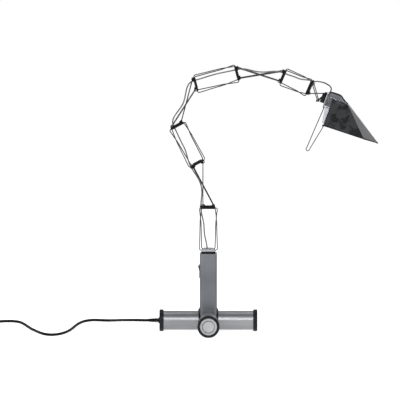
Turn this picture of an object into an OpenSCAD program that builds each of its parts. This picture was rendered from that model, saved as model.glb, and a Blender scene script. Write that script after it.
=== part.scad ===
// Desk lamp on an accordion arm. The arm is a chain of scissor panels, each of two bent wire
// frames that cross and swing in moulded rings. Panels fold front to back and side to side in turn.
// The origin is on the floor under the stem, +Z is up and -Y is the front.

/* [Base] */
// Outside diameter of the four legs
tube_d = 42; // [36:0.5:46]
// Wall of the legs
tube_wall = 2.5; // [1.5:0.1:3.5]
// Length of each leg between its gasket and its foot ring
tube_len = 77.5; // [72:0.5:120]
// Thickness of the gasket between stem and leg
gasket_t = 2.5; // [2.2:0.1:4]
// Outside diameter of the rubber foot rings
foot_d = 48.2; // [47:0.2:56]
// Length of the foot rings
foot_len = 9; // [7:0.5:14]
// Rounding of the foot rings' outer edges
foot_round = 1.6; // [0.8:0.1:2.4]
// How far the turned end cap stays back from the foot ring's face
cap_recess = 1; // [0.6:0.1:3]
// Length of the cap's spigot inside the leg
spigot_len = 8; // [6:0.5:12]
// Diameter of the tie rods
rod_d = 5; // [4:0.5:6]
// How far the tie rods run below the leg's axis
rod_drop = 12; // [11:0.5:12.5]
// How much shorter a ballast slug is than its leg
slug_short = 17.5; // [14:0.5:40]
// How much shorter the power unit is than its leg
unit_short = 21.5; // [16:0.5:40]

/* [Stem] */
// Width of the square stem
stem_w = 38; // [37:0.5:44]
// Height of the stem's top edge above the floor
stem_top = 173.5; // [165:0.5:260]
// Wall of the stem
stem_wall = 3; // [2:0.1:3.4]
// Rounding of the stem's upright corners
stem_round = 5; // [3.6:0.2:7]
// Thickness of the stem's floor
stem_floor = 3; // [2:0.2:3.4]
// Height of the black cap above the stem's top edge
cap_rise = 4.8; // [4:0.2:10]
// Depth of the cap's plug inside the stem
plug_depth = 6; // [4:0.5:12]
// Height of the rocker switch's middle above the floor
switch_z = 133.6; // [100:0.2:150]
// Height of the switch's flange
switch_h = 29.5; // [28:0.5:34]
// Width of the switch's flange
switch_w = 15.5; // [14.5:0.5:20]
// How far the rocker leans in its resting position, in degrees
rocker_lean = 8; // [4:1:9]

/* [Arm wires] */
// Diameter of the arm wire
wire_d = 2.2; // [1.8:0.1:2.3]
// Length of a long frame between its two end wires
long_frame = 96.5; // [94:0.5:110]
// Length of the seventh panel's frames
short_frame = 67.5; // [64:0.5:80]
// Length of the eighth panel's frames, next to the head
head_frame = 38.5; // [38:0.5:44]
// Distance between the two end wires that one ring holds on one level
pivot_span = 24; // [23.6:0.1:24.6]
// Width of a frame's wide end, between the centre lines of its side wires
wide_w = 39.8; // [39.4:0.1:41]
// Width of a frame's narrow end, between centre lines
narrow_w = 29.2; // [28.8:0.1:29.6]
// Radius of the wire's corners, on its centre line
corner_r = 4; // [3.4:0.1:4.2]
// Radius of the slight bends along the sides
side_r = 40; // [20:1:60]
// Half width of the outer frame a third of the way along
outer_near_w = 18.9; // [18.7:0.1:19.3]
// Half width of the outer frame two thirds of the way along
outer_far_w = 18.3; // [18.2:0.1:18.7]
// Half width of the inner frame a third of the way along from its wide end
inner_near_w = 16.2; // [15.8:0.1:16.3]
// Half width of the inner frame two thirds of the way along
inner_far_w = 15.6; // [15.2:0.1:15.7]

/* [Arm rings] */
// Outside diameter of the pivot sleeves
sleeve_d = 5.4; // [5:0.1:5.6]
// Running clearance of a wire in its sleeve, on the radius
run_gap = 0.05; // [0.03:0.01:0.08]
// Length of the sleeves that hold wide ends
long_sleeve = 31; // [28:0.2:31.4]
// Length of the sleeves that hold narrow ends
short_sleeve = 20.8; // [19:0.2:21]
// Half the height between a ring's two levels of sleeves
ring_half = 1.9; // [1.85:0.05:2.2]
// Radius of the loose bore that takes up the play of the open pivot
loose_r = 2.15; // [2.1:0.01:2.2]
// How far the loose bore's middle lies outside the pivot line
loose_out = 0.85; // [0.8:0.01:0.9]
// Wall round the loose bore
loose_wall = 0.95; // [0.8:0.05:1.1]
// Diameter of the posts that tie the sleeves together at the corners
post_d = 3.2; // [2.4:0.2:3.4]
// Diameter of the lamp lead
lead_d = 3; // [2.6:0.1:3.1]
// Clearance of the lead in its guide eyes, on the radius
eye_gap = 0.15; // [0.1:0.05:0.3]
// Wall of the guide eyes
eye_wall = 1; // [0.8:0.1:1.2]
// Height of the guide eyes
eye_h = 4; // [3:0.5:4.6]

/* [Head] */
// Width of the hood at its lip
hood_lip_w = 66; // [60:1:80]
// Width of the hood at its top
hood_top_w = 34; // [32:1:40]
// Thickness of the hood's sheet
hood_wall = 1.5; // [1.2:0.1:2]
// Thickness of the bracket plate
plate_t = 2; // [1.6:0.1:3]
// Width of the bracket plate
plate_w = 26; // [22:1:28]
// Height of the bracket plate
plate_h = 37.5; // [34:0.5:40]
// Diameter of the handle wire
handle_d = 2; // [1.6:0.1:2.6]
// Thickness of the front glass
glass_t = 2; // [1.6:0.1:3]

/* [Mains cord] */
// Diameter of the mains cord
cord_d = 6; // [5:0.2:6]
// Radius of the coil at the middle of its turns
coil_r = 31; // [29:0.5:36]
// Step between neighbouring loops of the coil, and between its layers
coil_step = 6.6; // [6.6:0.1:7.2]
// Loops in one layer of the coil
coil_loops = 2.5; // [2:0.5:3]
// Length of the plug's body
plug_len = 34; // [30:1:40]

/* [Hidden] */
$fn = 64;
aluminium = "#9a9da3";
black = "#1d1e20";
wire_grey = "#a9aaad";
clearance = 0.1;
over = 1;

panel_count = 8;
// Kind of each panel: true folds front to back, false side to side
front_back = [true, false, true, false, true, false, true, false];
// Full bend of each panel in degrees in the resting position
panel_bends = [0, -28, 0, 103.5, 0, 37.5, -8, 26];
panel_lens = [long_frame, long_frame, long_frame, long_frame, long_frame, long_frame, short_frame, head_frame];

foot_r = foot_d / 2;
tube_r = tube_d / 2;
tube_in_r = tube_r - tube_wall;
axis_z = foot_r;
stem_half = stem_w / 2;
stem_z0 = axis_z - tube_r;
stem_in = stem_w - 2 * stem_wall;
slug_len = tube_len - slug_short;
unit_len = tube_len - unit_short;
tube_x0 = stem_half + gasket_t;
tube_x1 = tube_x0 + tube_len;
foot_x1 = tube_x1 + foot_len;
cap_r = tube_r - 2 * clearance;
cap_x1 = foot_x1 - cap_recess;
rod_z = axis_z - rod_drop;

wire_r = wire_d / 2;
half_span = pivot_span / 2;
sleeve_r = sleeve_d / 2;
bore_r = wire_r + run_gap;
loose_sleeve_r = loose_r + loose_wall;
saddle_r = sleeve_r + 3 * clearance;
saddle_z0 = stem_top + cap_rise;
pivot_z = saddle_z0 + saddle_r;
post_r = post_d / 2;
post_at = short_sleeve / 2 - post_r;
eye_r = lead_d / 2 + eye_gap;
eye_out_r = eye_r + eye_wall;
// Distance of the guide eyes from the arm's middle line, outside and inside the long sleeve
eye_outer = half_span + sleeve_r + eye_r + clearance;
eye_inner = half_span - sleeve_r - eye_r + clearance;
// Rings whose eye lies outside the sleeve: the first two and the last
eye_outside = [true, true, false, false, false, false, true];
// Sideways place of the lead at the middle of each kind of panel
lead_side_fb = 9.5;
lead_side_ss = 5;
// Gap between two lengths of lead at the middle of each kind of panel
lead_gap_fb = 1.6;
lead_gap_ss = 3;
// Straight length of lead at each break, and on each side of an eye
lead_end = 10;
lead_eye_run = 9;
lead_bend_r = 12;
lead_tight_r = 6;

function unit(v) = v / norm(v);
function dot(p, q) = p * q;
function turn(p, q) = acos(max(-1, min(1, dot(p, q))));

// Half the bend of a panel, the lean of its frames and the height between its pivot planes
function half_bend(i) = panel_bends[i] / 2;
function lean(i) = acos(pivot_span / panel_lens[i] * cos(half_bend(i)));
function panel_h(i) = panel_lens[i] * sin(lean(i));
function panel_turn(i) = front_back[i] ? 90 : 0;

// Round bar along a run of points. Each corner is an exact arc, limited by the runs beside it.
// The straights reach into the arcs a little and are a hair thinner, so that all of it is one solid.
bar_lap = 0.12;
bar_skin = 0.006;
function corner_radius(p, c, q, r) =
    let (t = turn(unit(c - p), unit(q - c)), room = 0.49 * min(norm(c - p), norm(q - c)))
    t < 0.05 ? 0 : min(r, room / tan(t / 2));
function cut_len(p, c, q, r) = corner_radius(p, c, q, r) * tan(turn(unit(c - p), unit(q - c)) / 2);

module bar_between(a, b, r) {
    v = b - a;
    translate(a) rotate([0, acos(v[2] / norm(v)), atan2(v[1], v[0])]) cylinder(h = norm(v), r = r);
}

module bar_corner(p, c, q, bend, r) {
    u = unit(c - p);
    v = unit(q - c);
    t = turn(u, v);
    rad = corner_radius(p, c, q, bend);
    if (rad > 0) {
        n = unit(v - dot(u, v) * u);
        k = cross(-n, u);
        o = c - u * rad * tan(t / 2) + n * rad;
        multmatrix([
            [-n[0], u[0], k[0], o[0]],
            [-n[1], u[1], k[1], o[1]],
            [-n[2], u[2], k[2], o[2]],
            [0, 0, 0, 1]])
            rotate_extrude(angle = t) translate([rad, 0]) circle(r = r, $fn = 24);
    }
}

// Open run: the bends list has one radius for each inner point
module open_bar(pts, bends, r) {
    n = len(pts);
    for (i = [0 : n - 2]) {
        a = pts[i];
        b = pts[i + 1];
        u = unit(b - a);
        s = i == 0 ? 0 : cut_len(pts[i - 1], a, b, bends[i - 1]);
        e = i == n - 2 ? 0 : cut_len(a, b, pts[i + 2], bends[i]);
        bar_between(a + u * (s > 0 ? s - bar_lap : 0), b - u * (e > 0 ? e - bar_lap : 0), r - bar_skin, $fn = 24);
    }
    for (i = [1 : n - 2]) bar_corner(pts[i - 1], pts[i], pts[i + 1], bends[i - 1], r);
}

// Closed run: one radius for each point
module closed_bar(pts, bends, r) {
    n = len(pts);
    for (i = [0 : n - 1]) {
        p = pts[(i + n - 1) % n];
        a = pts[i];
        b = pts[(i + 1) % n];
        q = pts[(i + 2) % n];
        u = unit(b - a);
        s = cut_len(p, a, b, bends[i]);
        e = cut_len(a, b, q, bends[(i + 1) % n]);
        bar_between(a + u * (s - bar_lap), b - u * (e - bar_lap), r - bar_skin, $fn = 24);
        bar_corner(p, a, b, bends[i], r);
    }
}

module rounded_square(w, d, r) {
    square([w - 2 * r, d], center = true);
    square([w, d - 2 * r], center = true);
    for (x = [-1, 1], y = [-1, 1]) translate([x * (w / 2 - r), y * (d / 2 - r)]) circle(r = r);
}

module upright_box(w, d, h, r) {
    linear_extrude(h) rounded_square(w, d, r);
}

// Places a leg drawn along +X at each of the four sides: 0 right, 1 rear, 2 left, 3 front
module on_leg(i) {
    translate([0, 0, axis_z]) rotate([0, 0, 90 * i]) children();
}

module x_cylinder(x0, x1, r) {
    translate([x0, 0, 0]) rotate([0, 90, 0]) cylinder(h = x1 - x0, r = r);
}

// The base: stem, legs, rocker and the mains parts fixed to it

// Radius of the wire hole between the stem and each leg
wire_way_r = 4;

module stem_housing() color(aluminium) {
    difference() {
        translate([0, 0, stem_z0]) upright_box(stem_w, stem_w, stem_top - stem_z0, stem_round);
        translate([0, 0, stem_z0 + stem_floor])
            upright_box(stem_in, stem_in, stem_top, stem_round - stem_wall);
        for (i = [0 : 3]) on_leg(i) {
            translate([0, 0, -rod_drop]) x_cylinder(stem_half - stem_wall - over, tube_x0, rod_d / 2 + clearance);
            x_cylinder(stem_half - stem_wall - over, tube_x0, wire_way_r);
        }
        translate([-stem_half - over, -barrel_w / 2 - clearance, switch_z - barrel_h / 2 - clearance])
            cube([stem_wall + 2 * over, barrel_w + 2 * clearance, barrel_h + 2 * clearance]);
    }
}

module stem_cap() color(black) {
    difference() {
        union() {
            translate([0, 0, stem_top - plug_depth])
                upright_box(stem_in - 2 * clearance, stem_in - 2 * clearance, plug_depth, stem_round - stem_wall);
            translate([0, 0, stem_top])
                upright_box(stem_in - cap_step, stem_in - cap_step, cap_rise, stem_round - stem_wall);
        }
        translate([saddle_hole_x, 0, stem_top - plug_depth - over])
            cylinder(h = plug_depth + cap_rise + 2 * over, r = lead_d / 2 + eye_gap);
        translate([0, 0, stem_top - plug_depth - over])
            upright_box(stem_in - 2 * cap_shell, stem_in - 2 * cap_shell, plug_depth, stem_round - stem_wall);
    }
}

// The cap's upper part is a little narrower than its plug, and the plug is hollow below
cap_step = 1;
cap_shell = 2.2;
// Sideways place of the lead where it comes out of the saddle
saddle_hole_x = -2.5;
saddle_front = 29;

module arm_saddle() color(aluminium) {
    difference() {
        union() {
            translate([-short_sleeve / 2, -half_span, saddle_z0]) cube([short_sleeve, pivot_span, 2 * saddle_r]);
            for (s = [-1, 1]) translate([0, s * half_span, pivot_z]) {
                w = s < 0 ? saddle_front : short_sleeve;
                x_cylinder(-w / 2, w / 2, saddle_r);
                translate([-w / 2, -saddle_r, -saddle_r]) cube([w, 2 * saddle_r, saddle_r]);
            }
        }
        for (s = [-1, 1]) translate([0, s * half_span, pivot_z]) x_cylinder(-wide_w, wide_w, bore_r);
        translate([saddle_hole_x, 0, saddle_z0 - over])
            cylinder(h = 2 * saddle_r + 2 * over, r = lead_d / 2 + eye_gap);
        // Dished top between the two pivots
        translate([0, 0, pivot_z + saddle_r + dish_r - dish_depth]) x_cylinder(-stem_w, stem_w, dish_r);
    }
}

dish_r = 30;
dish_depth = 1.2;

// Rocker switch in the stem's left side
barrel_h = 27;
barrel_w = 13.2;
barrel_depth = 12;
flange_t = 1.2;
bezel_wall = 1.2;
rocker_h = barrel_h - 2 * bezel_wall;
rocker_w = 10.6;
rocker_gap = 0.25;
rocker_top = 2.2;
rocker_dip = 1;
rocker_pivot_in = 2;
rocker_deep = 4.4;
pin_r = 1.2;
pin_len = 0.7;
cavity_depth = 8.4;

// Frame of the switch: x points out of the stem's side, z up
module on_switch() {
    translate([-stem_half, 0, switch_z]) rotate([0, 0, 180]) children();
}

module switch_bezel() color(black) on_switch() {
    difference() {
        union() {
            translate([0, -switch_w / 2, -switch_h / 2]) cube([flange_t, switch_w, switch_h]);
            translate([-barrel_depth, -barrel_w / 2, -barrel_h / 2]) cube([barrel_depth, barrel_w, barrel_h]);
        }
        translate([-cavity_depth, -rocker_w / 2 - rocker_gap, -rocker_h / 2 - 3 * rocker_gap])
            cube([cavity_depth + flange_t + over, rocker_w + 2 * rocker_gap, rocker_h + 6 * rocker_gap]);
        translate([-rocker_pivot_in, -rocker_w / 2 - pin_len - clearance, 0]) rotate([-90, 0, 0])
            cylinder(h = rocker_w + 2 * pin_len + 2 * clearance, r = pin_r + run_gap);
    }
    // Contact blades at the back
    for (s = [-1, 1]) translate([-barrel_depth - blade_len, -blade_w / 2, s * barrel_h / 4 - blade_t / 2])
        cube([blade_len, blade_w, blade_t]);
}

blade_len = 6;
blade_w = 6;
blade_t = 0.8;

module rocker_switch() color(black) on_switch() translate([-rocker_pivot_in, 0, 0]) rotate([0, rocker_lean, 0]) {
    half = rocker_h / 2;
    face = rocker_pivot_in + rocker_top;
    translate([0, rocker_w / 2, 0]) rotate([90, 0, 0]) linear_extrude(rocker_w) difference() {
        polygon([
            [face, half], [face, -half], [rocker_pivot_in - rocker_dip, -half],
            [-rocker_deep, -half / 2], [-rocker_deep, half / 2], [rocker_pivot_in - rocker_dip, half]]);
        // Shallow dish along the face
        translate([face + rocker_dish_r - rocker_dip, 0]) circle(r = rocker_dish_r);
    }
    for (s = [-1, 1]) translate([0, s > 0 ? rocker_w / 2 : -rocker_w / 2 - pin_len, 0]) rotate([-90, 0, 0])
        cylinder(h = pin_len, r = pin_r);
}

rocker_dish_r = 60;

module base_tube(i) color(aluminium) on_leg(i) {
    difference() {
        x_cylinder(tube_x0, tube_x1, tube_r);
        x_cylinder(tube_x0 - over, tube_x1 + over, tube_in_r);
    }
}

module base_tube_right() base_tube(0);
module base_tube_rear() base_tube(1);
module base_tube_left() base_tube(2);
module base_tube_front() base_tube(3);

// The gasket stops a little short of the leg's outside
gasket_inset = 0.5;
gasket_r = tube_r - gasket_inset;

module tube_gaskets() color(black) for (i = [0 : 3]) on_leg(i) intersection() {
    difference() {
        x_cylinder(stem_half, tube_x0, gasket_r);
        x_cylinder(stem_half - over, tube_x0 + over, rod_drop + rod_d / 2 + clearance);
    }
    translate([stem_half, -stem_half + clearance, -tube_r]) cube([gasket_t, stem_w - 2 * clearance, tube_d]);
}

module foot_rings() color(black) for (i = [0 : 3]) on_leg(i) {
    translate([tube_x1, 0, 0]) rotate([0, 90, 0]) rotate_extrude() {
        t = foot_r - cap_r - clearance;
        translate([cap_r + clearance, 0]) {
            translate([0, foot_round]) square([t, foot_len - 2 * foot_round]);
            square([t - foot_round, foot_len]);
            for (z = [foot_round, foot_len - foot_round]) translate([t - foot_round, z]) circle(r = foot_round);
        }
    }
}

// Face of the turned end caps: a raised disc in a groove, and fine rings round it
disc_r = 12.75;
groove_w = 0.9;
groove_deep = 1;
fine_groove_w = 0.5;
fine_groove_deep = 0.4;
fine_groove_step = 1.7;
fine_grooves = 3;

module end_caps() color("#b6b8bc") for (i = [0 : 3]) on_leg(i) difference() {
    union() {
        x_cylinder(tube_x1, cap_x1, cap_r);
        x_cylinder(tube_x1 - spigot_len, tube_x1, tube_in_r - clearance);
    }
    difference() {
        x_cylinder(cap_x1 - groove_deep, cap_x1 + over, disc_r + groove_w);
        x_cylinder(cap_x1 - groove_deep - over, cap_x1 + 2 * over, disc_r);
    }
    for (k = [1 : fine_grooves]) difference() {
        x_cylinder(cap_x1 - fine_groove_deep, cap_x1 + over, disc_r + groove_w + k * fine_groove_step + fine_groove_w);
        x_cylinder(cap_x1 - fine_groove_deep - over, cap_x1 + 2 * over, disc_r + groove_w + k * fine_groove_step);
    }
    translate([0, 0, -rod_drop]) x_cylinder(tube_x1 - spigot_len - over, tube_x1, rod_d / 2 + clearance);
    if (i == 2) x_cylinder(tube_x1 - spigot_len - over, cap_x1 + over, relief_neck_r + clearance);
}

nut_w = 8;
nut_t = 4;

module tie_rods() color("silver") for (i = [0 : 3]) on_leg(i) translate([0, 0, -rod_drop]) {
    x_cylinder(stem_half - stem_wall, tube_x1, rod_d / 2);
    translate([stem_half - stem_wall - nut_t, 0, 0]) rotate([0, 90, 0]) rotate([0, 0, 30])
        cylinder(h = nut_t, d = nut_w / cos(30), $fn = 6);
}

slug_gap = 0.5;
inner_start = 4;

module ballast() color("dimgray") for (i = [0, 1, 3]) on_leg(i) difference() {
    x_cylinder(tube_x0 + inner_start, tube_x0 + inner_start + slug_len, tube_in_r - slug_gap);
    translate([0, 0, -rod_drop])
        x_cylinder(tube_x0, tube_x1, rod_d / 2 + clearance);
}

module power_unit() color("#2c3a2c") on_leg(2) difference() {
    x_cylinder(tube_x0 + inner_start, tube_x0 + inner_start + unit_len, tube_in_r - slug_gap);
    translate([0, 0, -rod_drop]) x_cylinder(tube_x0, tube_x1, rod_d / 2 + clearance);
}

// The mains lead: relief, cord, coil, tie and plug

relief_neck_r = 4.2;
relief_root_r = 6;
relief_len = 24;
relief_flange = 2;
relief_rib_w = 1.4;
relief_rib_step = 3.6;
relief_ribs = 5;
cord_r = cord_d / 2;
relief_x1 = cap_x1 + relief_flange + relief_len;

module cord_relief() color(black) on_leg(2) {
    x_cylinder(tube_x1 - spigot_len, cap_x1, relief_neck_r);
    x_cylinder(cap_x1, cap_x1 + relief_flange, relief_root_r + over);
    difference() {
        translate([cap_x1 + relief_flange, 0, 0]) rotate([0, 90, 0])
            cylinder(h = relief_len, r1 = relief_root_r, r2 = cord_r + 2 * clearance);
        for (k = [0 : relief_ribs - 1]) difference() {
            x = cap_x1 + 2 * relief_flange + k * relief_rib_step;
            x_cylinder(x, x + relief_rib_w, relief_root_r + over);
            x_cylinder(x - over, x + relief_rib_w + over, cord_r + 3 * clearance);
        }
    }
}

// Middle line of the cord from the strain relief to the coil
cord_route = [
    [-133, 0, 24.1], [-140, 0, 24], [-150, 2, 23.9], [-159, 8, 23.2], [-167, 17, 22], [-175, 29, 20.3],
    [-182, 43, 18.4], [-188, 58, 16.2], [-194, 74, 13.9], [-200, 90, 11.5], [-206, 106, 9.1], [-213, 122, 6.7],
    [-222, 136, 4.6], [-233, 146, 3.4], [-246, 152, 3], [-258, 154, 3], [-268, 150, 3], [-277, 139, 3],
    [-284.5, 121, 3], [-291, 95, 3], [-296, 64, 3], [-299.5, 35, 3], [-304, 4, 3], [-310, -25, 3],
    [-318.5, -51, 3], [-328, -68, 3], [-341, -77, 3], [-354, -72, 3], [-365.5, -55, 3], [-375, -32, 3],
    [-383.5, -9, 3], [-391.5, 14, 3], [-399, 40, 3], [-406, 67, 3], [-413.5, 94, 3], [-422, 117, 3],
    [-434, 132, 3], [-449, 137, 3], [-465, 133, 3], [-481, 121, 3], [-497, 109, 3], [-513, 102, 3],
    [-530, 100, 3], [-547, 100, 3]];
cord_sides = 8;

// Directions along a line of points, and rings of points across it that don't twist about a fixed upright
function tangent(p, i) =
    i == 0 ? unit(p[1] - p[0]) : i == len(p) - 1 ? unit(p[i] - p[i - 1]) : unit(p[i + 1] - p[i - 1]);
function ring_at(c, d, r, n) =
    let (s = unit(cross(d, [0, 0, 1])), t = cross(s, d))
    [for (k = [0 : n - 1]) c + r * (cos(360 * k / n) * s + sin(360 * k / n) * t)];

module swept_tube(p, r, n) {
    m = len(p);
    pts = [for (i = [0 : m - 1]) each ring_at(p[i], tangent(p, i), r, n)];
    sides = [for (i = [0 : m - 2], k = [0 : n - 1]) let (a = i * n + k, b = i * n + (k + 1) % n)
        each [[a, b, b + n], [a, b + n, a + n]]];
    last = (m - 1) * n;
    lids = concat(
        [for (k = [1 : n - 2]) [0, k + 1, k]],
        [for (k = [1 : n - 2]) [last, last + k, last + k + 1]]);
    polyhedron(points = pts, faces = concat(sides, lids), convexity = 10);
}

module mains_cord() color(black) swept_tube(cord_route, cord_r, cord_sides);

// The coil winds in on the floor, climbs one layer in the half turn where it reverses, and winds out again
coil_sides = 6;
coil_rings = 24;
coil_y_in = 100;
coil_in_x = -547;
// How far the loop draws in while it climbs
coil_dip = 1.5;
coil_r_out = coil_r + coil_step * coil_loops / 2;
coil_r_in = coil_r - coil_step * coil_loops / 2;
coil_centre = [coil_in_x - cord_d, coil_y_in - coil_r_out, cord_r];
function ease(x) = x * x * (3 - 2 * x);
function coil_radius(t) =
    t < coil_loops ? coil_r_out - coil_step * t :
    t < coil_loops + 0.5 ? coil_r_in - coil_dip * sin(360 * (t - coil_loops)) :
    coil_r_in + coil_step * (t - coil_loops - 0.5);
function coil_height(t) =
    t < coil_loops ? 0 : t < coil_loops + 0.5 ? coil_step * ease(2 * (t - coil_loops)) : coil_step;
coil_total = 2 * coil_loops + 0.5;
coil_count = round(coil_total * coil_rings);
function coil_point(t) =
    coil_centre + [coil_radius(t) * cos(90 + 360 * t), coil_radius(t) * sin(90 + 360 * t), coil_height(t)];
plug_w = 13.5;
// Way along the free end and its drop from the upper layer, so that the plug lies on the floor
tail_drop = coil_step + cord_r - plug_w / 2;
tail = [[3, 0], [8, 0], [13, 0.1 * tail_drop], [17, 0.4 * tail_drop], [21, 0.78 * tail_drop],
    [25, tail_drop], [28, tail_drop]];
coil_path = [for (i = [0 : coil_count]) coil_point(i / coil_rings)];
coil_last = coil_path[coil_count];
coil_out_dir = unit([
    -sin(90 + 360 * coil_total), cos(90 + 360 * coil_total), 0]);
coil_run = concat(
    [[coil_in_x, coil_y_in, cord_r], [coil_in_x - cord_d / 2, coil_y_in, cord_r]],
    coil_path,
    [for (q = tail) coil_last + coil_out_dir * q[0] - [0, 0, q[1]]]);
coil_gap = min([for (i = [0 : coil_count]) for (j = [i + 12 : 1 : coil_count]) norm(coil_path[i] - coil_path[j])]) - cord_d;
echo(coil_least_gap = coil_gap, coil_length = 2 * PI * coil_r * coil_total);

module cord_coil() color(black) swept_tube(coil_run, cord_r, coil_sides);

tie_w = 4;
tie_gap = 0.3;
tie_t = 1.2;

// Flat tie round the bundle of loops, at the coil's far side
module cord_tie() color("#3a3b3d") {
    w = coil_r_out - coil_r_in + cord_d + 2 * coil_step;
    h = coil_step + cord_d;
    translate([coil_centre[0] - coil_r, coil_centre[1], 0]) difference() {
        translate([-w / 2 - tie_t, -tie_w / 2, 0]) cube([w + 2 * tie_t, tie_w, h + tie_gap + tie_t]);
        translate([-w / 2, -tie_w, -over]) cube([w, 2 * tie_w, h + tie_gap + over]);
    }
}

plug_wide = 34;
plug_pin_d = 4;
plug_pin_len = 19;
plug_pin_span = 18.6;
plug_neck = 14;

// Flat two-pin plug that follows the cord's free end
module mains_plug() color(black) {
    e = coil_run[len(coil_run) - 1];
    translate(e) rotate([0, 0, atan2(coil_out_dir[1], coil_out_dir[0])]) {
        rotate([0, 90, 0]) cylinder(h = plug_neck, r1 = cord_r + 2 * clearance, r2 = plug_w / 2 - over);
        translate([plug_neck, 0, 0]) difference() {
            translate([0, 0, -plug_w / 2]) linear_extrude(plug_w) polygon([
                [0, plug_w / 2], [plug_len / 2, plug_wide / 2], [plug_len, plug_wide / 2],
                [plug_len, -plug_wide / 2], [plug_len / 2, -plug_wide / 2], [0, -plug_w / 2]]);
        }
        color("silver") for (s = [-1, 1]) translate([plug_neck + plug_len, s * plug_pin_span / 2, 0])
            rotate([0, 90, 0]) cylinder(h = plug_pin_len, r = plug_pin_d / 2);
    }
}

// The arm: rings, wire frames and sleeves

// Frame of a panel's lower pivot plane, with the hinges along X or Y of the ring below
module at_base(i) {
    if (i == 0) translate([0, 0, pivot_z]) children();
    else at_ring(i - 1) translate([0, 0, ring_half]) children();
}

// Frame of a panel's upper pivot plane, turned as the ring above it is
module at_top(i) {
    at_base(i) rotate([0, 0, panel_turn(i)])
        translate([panel_h(i) * sin(half_bend(i)), 0, panel_h(i) * cos(half_bend(i))])
        rotate([0, 2 * half_bend(i), 0]) rotate([0, 0, -panel_turn(i)]) children();
}

module at_ring(i) {
    at_top(i) translate([0, 0, ring_half]) children();
}

outer_near_share = 0.36;
outer_far_share = 0.66;

// One bent wire frame, wide end at the origin, narrow end at z = length
module wire_frame(length, near_w, far_w) {
    w = wide_w / 2;
    n = narrow_w / 2;
    a = length * outer_near_share;
    b = length * outer_far_share;
    // The bend starts outside the long sleeve, also where a short frame's sides lean in
    wide_bend = min(corner_r, (w - long_sleeve / 2 - run_gap) / tan((90 + atan((w - near_w) / a)) / 2));
    closed_bar(
        [[0, -w, 0], [0, w, 0], [0, near_w, a], [0, far_w, b], [0, n, length],
            [0, -n, length], [0, -far_w, b], [0, -near_w, a]],
        [wide_bend, wide_bend, side_r, side_r, corner_r, corner_r, side_r, side_r], wire_r);
}

// Frame a is the outer one: its wide end swings at the near pivot of the lower ring
module outer_frame(i) color(wire_grey) at_base(i) rotate([0, 0, panel_turn(i)])
    translate([-half_span, 0, 0]) rotate([0, 90 - (lean(i) - half_bend(i)), 0])
    wire_frame(panel_lens[i], outer_near_w, outer_far_w);

// Frame b is the inner one: its narrow end swings at the far pivot of the lower ring
module inner_frame(i) color("#8f9094") at_base(i) rotate([0, 0, panel_turn(i)])
    translate([half_span, 0, 0]) rotate([0, 90 - (180 - lean(i) - half_bend(i)), 0])
    translate([0, 0, panel_lens[i]]) mirror([0, 0, 1])
    wire_frame(panel_lens[i], inner_near_w, inner_far_w);

// One level of sleeves, drawn with the hinges along Y
module sleeves(lower) {
    z = lower ? -ring_half : ring_half;
    translate([-half_span, 0, z]) rotate([90, 0, 0]) cylinder(h = long_sleeve, r = sleeve_r, center = true);
    if (lower)
        translate([half_span + loose_out, 0, z]) rotate([90, 0, 0])
            cylinder(h = short_sleeve, r = loose_sleeve_r, center = true);
    else
        translate([half_span, 0, z]) rotate([90, 0, 0]) cylinder(h = short_sleeve, r = sleeve_r, center = true);
}

module sleeve_bores(lower) {
    z = lower ? -ring_half : ring_half;
    translate([-half_span, 0, z]) rotate([90, 0, 0]) cylinder(h = wide_w, r = bore_r, center = true);
    translate([lower ? half_span + loose_out : half_span, 0, z]) rotate([90, 0, 0])
        cylinder(h = wide_w, r = lower ? loose_r : bore_r, center = true);
}

function eye_x(i) = -(eye_outside[i] ? eye_outer : eye_inner);

module arm_ring(i) color(black) at_ring(i) {
    lower_turn = panel_turn(i);
    upper_turn = panel_turn(i + 1);
    difference() {
        union() {
            rotate([0, 0, lower_turn]) sleeves(true);
            rotate([0, 0, upper_turn]) sleeves(false);
            for (x = [-1, 1], y = [-1, 1]) translate([x * post_at, y * post_at, -ring_half - post_r])
                cylinder(h = 2 * (ring_half + post_r), r = post_r);
            translate([eye_x(i), 0, -eye_h / 2]) cylinder(h = eye_h, r = eye_out_r);
        }
        rotate([0, 0, lower_turn]) sleeve_bores(true);
        rotate([0, 0, upper_turn]) sleeve_bores(false);
        translate([eye_x(i), 0, -eye_h]) cylinder(h = 2 * eye_h, r = eye_r);
    }
}

module ring_a() arm_ring(0);
module ring_b() arm_ring(1);
module ring_c() arm_ring(2);
module ring_d() arm_ring(3);
module ring_e() arm_ring(4);
module ring_f() arm_ring(5);
module ring_g() arm_ring(6);

// The lamp lead that climbs along the arm

// Turn of a vector about Z by 0 or 90 degrees, as the panel's hinges lie
function about_z(v, q) = [v[0] * cos(q) - v[1] * sin(q), v[0] * sin(q) + v[1] * cos(q), v[2]];

// Middle of the panel above a ring, its direction there and the lead's place, in the ring's own frame
function up_dir(i) = about_z([sin(half_bend(i)), 0, cos(half_bend(i))], panel_turn(i));
function up_side(i) = front_back[i] ? [-lead_side_fb, 0, 0] : -lead_side_ss * [cos(half_bend(i)), 0, -sin(half_bend(i))];
function up_mid(i) = [0, 0, ring_half] + up_dir(i) * panel_h(i) / 2 + up_side(i);
function lead_gap(i) = front_back[i] ? lead_gap_fb : lead_gap_ss;
function up_end(i) = up_mid(i) - up_dir(i) * lead_gap(i) / 2;

// The same of the panel below
function down_dir(i) = about_z([-sin(half_bend(i)), 0, cos(half_bend(i))], panel_turn(i));
function down_side(i) = front_back[i] ? [-lead_side_fb, 0, 0] : -lead_side_ss * [cos(half_bend(i)), 0, sin(half_bend(i))];
function down_mid(i) = [0, 0, -ring_half] - down_dir(i) * panel_h(i) / 2 + down_side(i);
function down_end(i) = down_mid(i) + down_dir(i) * lead_gap(i) / 2;

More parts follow.
